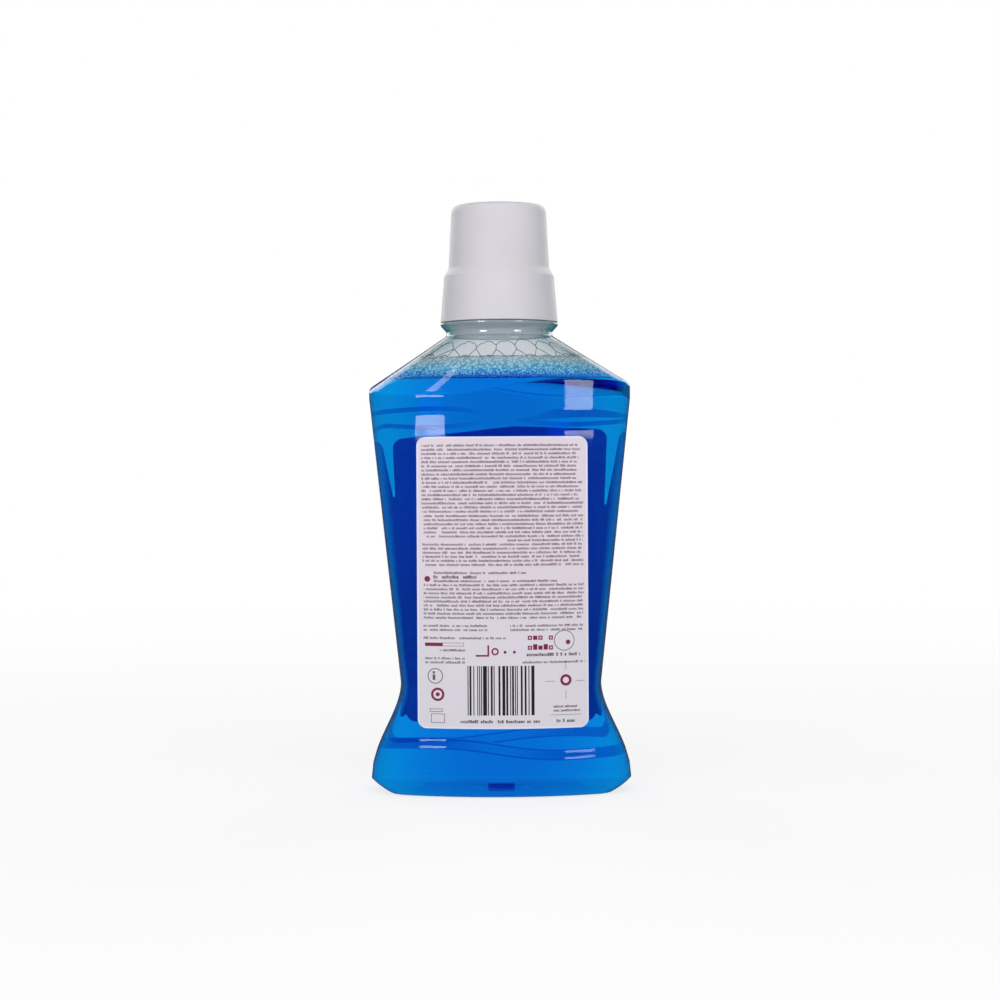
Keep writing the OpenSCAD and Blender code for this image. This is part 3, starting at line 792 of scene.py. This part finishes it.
class Finish:
    """A material, or the room's light, and short calls that add nodes to it."""

    def __init__(self, name, is_world=False):
        self.owner = (bpy.data.worlds if is_world else bpy.data.materials).new(name)
        self.owner.use_nodes = True
        self.tree = self.owner.node_tree
        self.tree.nodes.clear()
        self.out = self.node("OutputWorld" if is_world else "OutputMaterial")

    def node(self, kind, inputs=None, **settings):
        """A node whose inputs are links or values; a colour is its red, green and blue."""
        made = self.tree.nodes.new("ShaderNode" + kind)
        for key, value in settings.items():
            setattr(made, key, value)
        for key, value in (inputs or {}).items():
            socket = made.inputs[key]
            if isinstance(value, bpy.types.NodeSocket):
                self.tree.links.new(value, socket)
            else:
                socket.default_value = (*value, 1) if socket.type == "RGBA" else value
        return made

    def math(self, operation, *values):
        return self.node("Math", dict(enumerate(values)), operation=operation).outputs[0]

    def object_coordinates(self):
        return self.node("TexCoord").outputs["Object"]

    def axes(self, vector=None):
        """X, Y and Z of a vector, or else of the place on the piece."""
        return self.node("SeparateXYZ", {0: vector or self.object_coordinates()}).outputs

    def mix(self, factor, a, b):
        """A colour between two colours."""
        return self.node("Mix", {0: factor, 6: a, 7: b}, data_type="RGBA").outputs[2]

    def ramp(self, factor, *stops):
        """A colour ramp of (place, colour) stops."""
        made = self.node("ValToRGB", {0: factor})
        points = made.color_ramp.elements
        while len(points) < len(stops):
            points.new(1)
        for point, (place, colour) in zip(points, stops):
            point.position = place
            point.color = (*colour, 1)
        return made.outputs[0]

    def within(self, value, low, high):
        """1 where a value lies between two limits, else 0."""
        return self.math("COMPARE", value, (low + high) / 2, (high - low) / 2)

    def both(self, *masks):
        return functools.reduce(lambda a, b: self.math("MULTIPLY", a, b), masks)

    def either(self, *masks):
        return functools.reduce(lambda a, b: self.math("MAXIMUM", a, b), masks)

    def block(self, place, left, right, top, low):
        """1 inside an upright rectangle."""
        across, down = self.axes(place)[:2]
        return self.both(self.within(across, left, right), self.within(down, top, low))

    def hollow_block(self, place, left, right, top, low, line):
        """1 on the outline of an upright rectangle."""
        inner = self.block(place, left + line, right - line, top + line, low - line)
        return self.math("SUBTRACT", self.block(place, left, right, top, low), inner)

    def away(self, place, across, down):
        """How far a place is from a point."""
        point = (across, down, 0)
        return self.node("VectorMath", {0: place, 1: point}, operation="DISTANCE").outputs["Value"]

    def disc(self, place, across, down, r):
        return self.math("LESS_THAN", self.away(place, across, down), r)

    def hoop(self, place, across, down, r, line):
        return self.math("COMPARE", self.away(place, across, down), r, line / 2)

    def chance(self, *keys):
        """Random red, green and blue for each set of whole numbers."""
        key = self.node("CombineXYZ", dict(enumerate(keys))).outputs[0]
        noise = self.node("TexWhiteNoise", {"Vector": key}, noise_dimensions="3D").outputs["Color"]
        return self.node("SeparateColor", {0: noise}).outputs

    def letters(self, across, down, top, pitch, letter_w):
        """Rows of strokes like small print that spell nothing, and each row's own random number."""
        row_place = self.math("DIVIDE", self.math("SUBTRACT", down, top), pitch)
        row = self.math("FLOOR", row_place)
        rise = self.math("FRACT", row_place)
        letter_place = self.math("DIVIDE", across, letter_w)
        letter = self.math("FLOOR", letter_place)
        along = self.math("FRACT", letter_place)
        is_letter, is_tall, is_open = self.chance(letter, row, top / MM)
        crown = self.math("MULTIPLY_ADD", self.math("GREATER_THAN", is_tall, 0.7), -0.14, 0.34)
        inked = self.both(self.math("GREATER_THAN", is_letter, 0.15), self.math("GREATER_THAN", rise, crown),
                          self.math("LESS_THAN", rise, 0.76), self.math("LESS_THAN", along, 0.8))
        eye = self.both(self.within(along, 0.27, 0.53), self.within(rise, 0.46, 0.64),
                        self.math("GREATER_THAN", is_open, 0.3))
        return self.math("SUBTRACT", inked, eye), self.chance(row, 7, top / MM)[0]

    def bump(self, height, strength, distance):
        return self.node("Bump", {"Height": height, "Strength": strength, "Distance": distance}).outputs[0]

    def facing(self, power):
        """From 0 where the surface is seen face on to 1 at a grazing angle."""
        return self.math("POWER", self.node("LayerWeight", {"Blend": 0.5}).outputs["Facing"], power)

    def wall_tint(self):
        """What a clear wall lets through: grey with residue above the liquid, and deeper at its rims, with
        painted shade at the notch low in the back and along the creases of the ledge and the panel's top.
        """
        x, y, z = self.axes()
        above = self.span(z, residue_low_z, residue_full_z)
        plain = self.mix(above, (0.985, 0.995, 1), (0.885, 0.895, 0.91))
        rim = self.mix(above, (0.80, 0.93, 0.97), (0.33, 0.50, 0.54))
        tint = self.mix(self.facing(3), plain, rim)
        swing = self.math("SINE", self.math("MULTIPLY", self.math("ARCTAN2", y, x), 2))
        # Painted shade: the small notch low in the back is tinted a darker blue.
        notch_painted_shade = self.both(self.math("LESS_THAN", y, 0), self.within(x, -notch_w / 2, notch_w / 2),
                             self.within(z, notch_z, notch_z + notch_h))
        tint = self.mix(notch_painted_shade, tint, (0.40, 0.52, 0.80))
        # Painted shade: darker blue bands along the ledge and under the panel's top step, fading in towards
        # the sides.
        for wave, low, high in (
                (ledge_wave, ledge_z - ledge_shade_over, ledge_top_z + ledge_shade_over),
                (panel_top_wave, panel_top_z + panel_shade_low, panel_top_z + panel_shade_high)):
            crease_painted_shade = self.within(self.math("MULTIPLY_ADD", swing, -wave, z), low, high)
            shade_toward_sides = self.span(self.math("ABSOLUTE", x), shade_start_x, shade_full_x)
            tint = self.mix(self.math("MULTIPLY", crease_painted_shade, shade_toward_sides), tint, (0.46, 0.70, 0.90))
        # Painted shade: thin darker lines along the ledge's two creases.
        level = self.math("MULTIPLY_ADD", swing, -ledge_wave, z)
        crease_shade_lines = self.either(self.math("COMPARE", level, ledge_z, crease_shade_line / 2),
                            self.math("COMPARE", level, ledge_top_z, crease_shade_line / 2))
        return self.mix(crease_shade_lines, tint, (0.48, 0.72, 0.92))

    def span(self, value, low=0, high=1, first=0, last=1):
        """Goes from first to last while a value goes from low to high, and no further."""
        return self.node("MapRange", {0: value, 1: low, 2: high, 3: first, 4: last}).outputs[0]

    def noise(self, scale, detail=2):
        place = self.object_coordinates()
        return self.node("TexNoise", {"Vector": place, "Scale": scale, "Detail": detail}).outputs[0]

    def pores(self, scale):
        """How far a place is from the nearest of many scattered points."""
        place = self.object_coordinates()
        return self.node("TexVoronoi", {"Vector": place, "Scale": scale}).outputs["Distance"]

    def shader(self, kind, colour):
        return self.node("Bsdf" + kind, {"Color": colour}).outputs[0]

    def solid(self, colour, roughness, normal=None):
        """An opaque surface with some gloss."""
        inputs = {"Base Color": colour, "Roughness": roughness}
        if normal is not None:
            inputs["Normal"] = normal
        return self.node("BsdfPrincipled", inputs).outputs[0]

    def blend(self, share, first, second):
        """A share of the second shader over the first."""
        return self.node("MixShader", {0: share, 1: first, 2: second}).outputs[0]

    def surface(self, shader):
        self.tree.links.new(shader, self.out.inputs["Surface"])
        return self.owner


def clear_plastic():
    """The bottle's clear wall. Above the liquid it holds a grey film of residue."""
    f = Finish("clear_plastic")
    waves = f.noise(45)
    through = f.shader("Transparent", f.wall_tint())
    gloss = f.node("BsdfAnisotropic", {"Color": (1, 1, 1), "Roughness": 0.04,
                                       "Normal": f.bump(waves, 0.12, 2 * MM)}).outputs[0]
    height = f.axes()[2]
    in_ring = f.within(height, neck_root_z - frost_under, ring_top_z + frost_over)
    shine = f.math("MULTIPLY_ADD", in_ring, 0.09, f.math("MULTIPLY_ADD", f.facing(5), 0.9, 0.03))
    edge = f.span(f.facing(1), 0.42, 0.7)
    milk = f.mix(edge, (0.66, 0.74, 0.79), (0.05, 0.46, 0.53))
    frost = f.blend(0.45, f.shader("Diffuse", milk), f.shader("Translucent", milk))
    veiled = f.blend(f.math("MULTIPLY", in_ring, 0.72), through, frost)
    wet = f.math("LESS_THAN", height, liquid_z)
    lit_edge = f.math("MULTIPLY", wet, f.span(f.facing(1), 0.2, 0.5, 0, 0.3))
    veiled = f.blend(lit_edge, veiled, f.shader("Diffuse", (0.0, 0.36, 0.80)))
    return f.surface(f.blend(shine, veiled, gloss))


def clear_plastic_inside():
    """The inside of the bottle's wall, which adds no shine of its own."""
    f = Finish("clear_plastic_inside")
    return f.surface(f.shader("Transparent", f.wall_tint()))


def blue_liquid():
    """Clear blue liquid, which lets the lamps through to what lies behind it."""
    f = Finish("blue_liquid")
    water = f.node("BsdfPrincipled", {"Base Color": (1, 1, 1), "Roughness": 0.0, "IOR": 1.3,
                                      "Transmission Weight": 1.0}).outputs[0]
    through = f.shader("Transparent", (1, 1, 1))
    shadow = f.node("LightPath").outputs["Is Shadow Ray"]
    body = f.node("VolumeAbsorption", {"Color": (0, 0.892, 0.981), "Density": 300.0}).outputs[0]
    f.tree.links.new(body, f.out.inputs["Volume"])
    return f.surface(f.blend(shadow, water, through))


def cap_plastic():
    """Satin moulded plastic, off-white."""
    f = Finish("cap_plastic")
    cloud = f.noise(60, 3)
    colour = f.mix(cloud, (0.60, 0.585, 0.615), (0.68, 0.665, 0.70))
    rough = f.span(cloud, 0, 1, 0.36, 0.46)
    return f.surface(f.solid(colour, rough, f.bump(f.noise(2600), 0.15, 0.1 * MM)))


def seal_foam():
    f = Finish("seal_foam")
    cells = f.pores(1500)
    colour = f.mix(cells, (0.8, 0.8, 0.77), (0.62, 0.62, 0.59))
    return f.surface(f.solid(colour, 0.8, f.bump(cells, 0.4, 0.2 * MM)))


def froth_bubbles():
    """Fine bubbles, deep blue at the liquid and pale at the top, with dark films between them."""
    f = Finish("froth_bubbles")
    height = f.axes()[2]
    rise = f.span(height, liquid_z - froth_dip, liquid_z + froth_rise)
    backs = f.ramp(rise, (0, (0.0, 0.10, 0.55)), (0.12, (0.02, 0.30, 0.75)),
                   (0.22, (0.16, 0.62, 0.90)), (0.5, (0.36, 0.74, 0.84)), (1, (0.60, 0.72, 0.75)))
    gaps = f.ramp(rise, (0, (0.0, 0.02, 0.35)), (0.2, (0.0, 0.10, 0.60)),
                  (0.55, (0.05, 0.34, 0.60)), (1, (0.34, 0.50, 0.55)))
    size = f.span(rise, 0.35, 0.7)
    hollow = f.node("Mix", {0: size, 2: f.pores(1500), 3: f.pores(950)}).outputs[0]
    back = f.bump(f.span(hollow, 0.6, 0), 0.6, 0.5 * MM)
    return f.surface(f.solid(f.mix(f.span(hollow, 0.62, 0.34), gaps, backs), 0.2, back))


def film_lines():
    f = Finish("film_lines")
    colour = f.mix(f.noise(400), (0.05, 0.12, 0.14), (0.16, 0.24, 0.26))
    return f.surface(f.solid(colour, 0.1))


def film_back(name, lets_through):
    """The unprinted side of a label, seen through the bottle. It lets a share of the light through."""
    f = Finish(name)
    colour = f.mix(f.noise(900, 3), (0.9, 0.93, 0.96), (0.95, 0.97, 1))
    return f.surface(f.blend(lets_through, f.solid(colour, 0.5), f.shader("Translucent", colour)))


def back_label_print():
    """Small print, a pattern of bars and plain marks on pale paper under a clear film, whose margin holds a
    painted glint.

    Places on it are measured across from its left edge and down from its top edge."""
    f = Finish("back_label_print")
    x, _, z = f.axes()
    across = f.math("SUBTRACT", x, back_label_x - back_label_w / 2)
    down = f.math("SUBTRACT", back_label_z + back_label_h / 2, z)
    place = f.node("CombineXYZ", {0: across, 1: down}).outputs[0]

    def printed(top, pitch, letter_w, ragged, *columns):
        """Rows in columns of (left, right, top, low); a ragged row falls short by a random length."""
        ink, loose = f.letters(across, down, *mm(top, pitch, letter_w))
        short = f.math("MULTIPLY_ADD", loose, ragged * MM, across)
        areas = []
        for left, right, high, low in columns:
            areas.append(f.both(f.within(down, high * MM, low * MM),
                                f.math("GREATER_THAN", across, left * MM),
                                f.math("LESS_THAN", short, right * MM)))
        return f.both(ink, f.either(*areas))

    def drawn(*kinds):
        """Shapes listed by kind, their places and sizes in mm."""
        return f.either(*[kind(place, *mm(*sizes)) for kind, *group in kinds for sizes in group])

    small_print = f.either(
        printed(2.3, 1.41, 0.46, 3, (1.6, 57.4, 2.3, 26.27)),
        printed(26.4, 1.39, 0.48, 1.2, (2.4, 57.4, 26.4, 34.74), (31, 57.4, 34.74, 36.1),
                (1.9, 57.4, 36.2, 44.5), (5.5, 38.2, 45.8, 47.2), (5.5, 48, 48.6, 50), (2.2, 57.4, 50, 62.5),
                (2.1, 25, 63.9, 66.7), (31.8, 57.4, 63.9, 66.7), (2.1, 31, 68, 69.4),
                (7.7, 16.5, 72.2, 73.6), (2.6, 16.4, 75, 77.8), (36, 57.4, 76.4, 77.8),
                (46.4, 55.6, 91.7, 94.5)))
    heavy_print = printed(1.4, 1.9, 0.72, 0, (5.5, 20.4, 46.9, 48.8), (37.3, 55.8, 73.5, 75.4),
                          (14.6, 41.9, 96.3, 98.2), (47.5, 53.8, 96.3, 98.2))
    strokes = drawn(
        (f.block, (50.7, 50.85, 77, 79.8), (50.7, 50.85, 86.9, 89.9), (43.9, 47.1, 83.65, 83.8),
         (54.4, 57.2, 83.65, 83.8), (45.5, 56, 95.2, 95.35), (5.2, 6.1, 81.3, 83.2)),
        (f.hollow_block, (4.6, 9.3, 94.7, 97.9, 0.2), (4.2, 8.6, 93, 94.1, 0.2),
         (8.6, 16, 70.4, 71.6, 0.15)),
        (f.hoop, (50.3, 69.8, 3.4, 0.25), (6.1, 81.8, 2.5, 0.3)), (f.disc, (5.6, 80.6, 0.45)))
    marks = drawn(
        (f.block, (2.6, 8.7, 70.4, 71.6), (20, 24.6, 74.5, 75.1), (24, 24.6, 71.2, 75.1)),
        (f.hoop, (26.6, 73.4, 1, 0.55), (6.9, 88.1, 1.9, 0.8), (50.8, 83.4, 1.5, 0.9)),
        (f.disc, (3.5, 48.6, 1), (30, 73.6, 0.5), (33.2, 73.6, 0.5), (6.9, 88.1, 0.7), (51.6, 70.4, 0.8)))
    marks = f.either(marks, printed(66.9, 3.4, 1.8, 0, (37.6, 46.4, 66.9, 73.7)))
    bar = f.math("FLOOR", f.math("DIVIDE", across, bar_w))
    is_bar = f.math("GREATER_THAN", f.chance(bar, 3, 1)[0], 0.5)
    bars = f.both(is_bar, f.block(place, *mm(16.8, 40, 78.3, 95.2)))

    paper = f.mix(f.span(down, *mm(45, 80)), (0.74, 0.65, 0.72), (0.71, 0.68, 0.73))
    paper = f.mix(f.math("MULTIPLY", f.noise(120, 3), 0.3), paper, (0.60, 0.60, 0.66))
    # The unprinted margin of clear film, coloured pale bluish white: partly the film's own colour, partly a
    # painted glint along the label's edge.
    margin_and_glint = f.math("SUBTRACT", 1, f.block(place, print_margin, back_label_w - print_margin,
                                           print_margin, back_label_h - print_margin))
    colour = f.mix(margin_and_glint, paper, (0.74, 0.78, 0.92))
    for mask, ink in ((small_print, (0.16, 0.08, 0.13)), (heavy_print, (0.09, 0.04, 0.07)),
                      (strokes, (0.14, 0.07, 0.11)), (marks, (0.22, 0.01, 0.06)),
                      (bars, (0.02, 0.012, 0.02))):
        colour = f.mix(mask, colour, ink)
    return f.surface(f.solid(colour, 0.34))


def front_label_print():
    """Waves and drops in blues round a blank white panel."""
    f = Finish("front_label_print")
    x, _, z = f.axes()
    place = f.node("CombineXYZ", {0: x, 1: z}).outputs[0]
    height = f.span(z, front_label_low_z, front_label_top_z)
    colour = f.ramp(height, (0, (0.0, 0.03, 0.25)), (0.35, (0.0, 0.16, 0.62)),
                    (0.6, (0.02, 0.42, 0.80)), (1, (0.0, 0.05, 0.38)))
    waves = ((58, 5, 0, 1.6, (0.55, 0.85, 0.95)), (54, 6, 0.5, 0.7, (0.9, 0.95, 1)),
             (62, 4, 1.1, 0.5, (0.10, 0.62, 0.85)), (119, 2.5, 2.6, 0.9, (0.5, 0.8, 0.95)))
    for middle, rise, turn, line, paint in waves:
        wave = f.math("SINE", f.math("MULTIPLY_ADD", x, 75, turn))
        curve = f.math("MULTIPLY_ADD", wave, rise * MM, middle * MM)
        colour = f.mix(f.math("COMPARE", z, curve, line * MM / 2), colour, paint)
    drops = f.node("TexVoronoi", {"Vector": place, "Scale": 190, "Randomness": 0.85},
                   voronoi_dimensions="2D")
    chance = f.node("SeparateColor", {0: drops.outputs["Color"]}).outputs[0]
    size = f.math("MULTIPLY_ADD", chance, 0.3, 0.08)
    here = f.within(f.axes(drops.outputs["Position"])[1], *mm(27, 45))
    is_drop = f.both(f.math("LESS_THAN", drops.outputs["Distance"], size), here)
    colour = f.mix(is_drop, colour, (0.35, 0.75, 0.95))
    glint = f.both(f.math("LESS_THAN", drops.outputs["Distance"], f.math("MULTIPLY", size, 0.4)), here)
    colour = f.mix(glint, colour, (0.9, 0.97, 1))
    panel = f.block(place, *mm(-22, 22, 74, 106))
    ends = f.either(f.disc(place, *mm(-22, 90, 16)), f.disc(place, *mm(22, 90, 16)))
    narrow = f.within(x, *mm(-27, 27))
    panel = f.either(panel, f.both(ends, narrow))
    colour = f.mix(panel, colour, (0.86, 0.89, 0.92))
    line = f.hollow_block(place, *mm(-21, 21, 77, 103, 0.4))
    colour = f.mix(line, colour, (0.02, 0.20, 0.55))
    glow = f.shader("Translucent", (0.35, 0.62, 1))
    return f.surface(f.blend(front_film_glow, f.solid(colour, 0.3), glow))


def finish(piece, *materials):
    """Gives a piece its material, or a first one and a second one for the faces sorted to it."""
    sorted_to = [p.material_index for p in piece.data.polygons]
    piece.data.materials.clear()
    for material in materials:
        piece.data.materials.append(material)
    piece.data.polygons.foreach_set("material_index", sorted_to)


def set_stage():
    """The room's light, which is another shade for each kind of ray, and the white floor."""
    bpy.context.scene.view_settings.view_transform = "Standard"
    f = Finish("studio", is_world=True)
    ways = f.node("LightPath").outputs
    shade = (0.34, 0.34, 0.35)
    for way, colour in (("Is Glossy Ray", (0.04, 0.04, 0.043)),
                        ("Is Transmission Ray", (0.86, 0.86, 0.86)), ("Is Camera Ray", (1, 1, 1))):
        shade = f.mix(ways[way], shade, colour)
    bpy.context.scene.world = f.surface(f.node("Background", {"Color": shade}).outputs[0])

    deselect()
    bpy.ops.mesh.primitive_circle_add(vertices=96, radius=floor_r, fill_type="NGON",
                                      location=(0, 0, floor_z))
    floor = bpy.context.object
    floor.name = "floor"
    bpy.ops.object.transform_apply(location=True)
    f = Finish("floor_paper")
    away = f.span(f.away(f.object_coordinates(), 0, 0), *mm(150, 1200), 0.75, 1)
    lit = f.shader("Diffuse", f.mix(f.noise(3), (0.9, 0.9, 0.9), (0.93, 0.93, 0.93)))
    white = f.node("Emission", {"Color": (1, 1, 1), "Strength": 1.0}).outputs[0]
    ways = f.node("LightPath").outputs
    seen = f.math("MAXIMUM", ways["Is Camera Ray"], ways["Is Transmission Ray"])
    share = f.math("MULTIPLY", seen, away)
    finish(floor, f.surface(f.blend(share, lit, white)))
    floor.visible_glossy = False


def softbox(name, azimuth, low, high, width, radiance, mirrored=True, seen_through=True):
    """A lamp at an azimuth from the camera's side, between two elevations, all in degrees."""
    mid = math.radians((low + high) / 2)
    a = math.radians(azimuth)
    data = bpy.data.lights.new(name, "AREA")
    data.shape = "RECTANGLE"
    data.size = 2 * lamp_reach * math.tan(math.radians(width / 2))
    data.size_y = 2 * lamp_reach * math.tan(math.radians((high - low) / 2))
    data.energy = radiance * math.pi * data.size * data.size_y
    lamp = placed(name, data)
    target = Vector((0, 0, lamp_aim_z))
    way = Vector((math.sin(a) * math.cos(mid), -math.cos(a) * math.cos(mid), math.sin(mid)))
    lamp.location = target + way * lamp_reach
    lamp.rotation_euler = (-way).to_track_quat("-Z", "Y").to_euler()
    lamp.visible_camera = False
    lamp.visible_glossy = mirrored
    lamp.visible_transmission = seen_through


def set_lights():
    softbox("left_softbox", -35, 2.2, 9, 15, 6)
    softbox("right_softbox", 40, 2.05, 9, 15, 4.8)
    softbox("upper_strip", -58, 53, 61, 5.4, 5.2)
    softbox("front_fill", 0, 22, 62, 54, 2.75, mirrored=False, seen_through=False)
    softbox("rear_left_softbox", -150, 5, 45, 30, 1.8, seen_through=False)
    softbox("rear_right_softbox", 150, 5, 45, 30, 1.8, seen_through=False)


def set_camera():
    camera = placed("camera", bpy.data.cameras.new("camera"))
    camera.data.sensor_width = 36
    camera.data.lens = camera_lens
    camera.location = (0, camera_y, camera_z)
    camera.rotation_euler = (math.pi / 2 - camera_dip, camera_roll, 0)
    bpy.context.scene.camera = camera


set_camera()
set_stage()
set_lights()

bottle = make_bottle()
finish(bottle, clear_plastic(), clear_plastic_inside())
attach(bottle, "bottle")
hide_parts("bottle")

liquid = make_liquid()
finish(liquid, blue_liquid())
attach(liquid, "bottle")
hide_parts("mouthwash")

cap = make_cap()
finish(cap, cap_plastic())
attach(cap, "cap")
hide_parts("cap")

seal = make_seal()
finish(seal, seal_foam())
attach(seal, "seal")
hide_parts("cap_seal")

back_label = make_back_label()
finish(back_label, back_label_print(), film_back("back_film_inside", 0))
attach(back_label, "bottle")
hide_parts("back_label")

front_label = make_front_label()
finish(front_label, front_label_print(), film_back("front_film_inside", front_film_glow))
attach(front_label, "bottle")
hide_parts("front_label")

froth = make_froth()
finish(froth, froth_bubbles())
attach(froth, "bottle")
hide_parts("foam")

films = make_films()
finish(films, film_lines())
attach(films, "bottle")

bpy.context.scene.cycles.transparent_max_bounces = 24
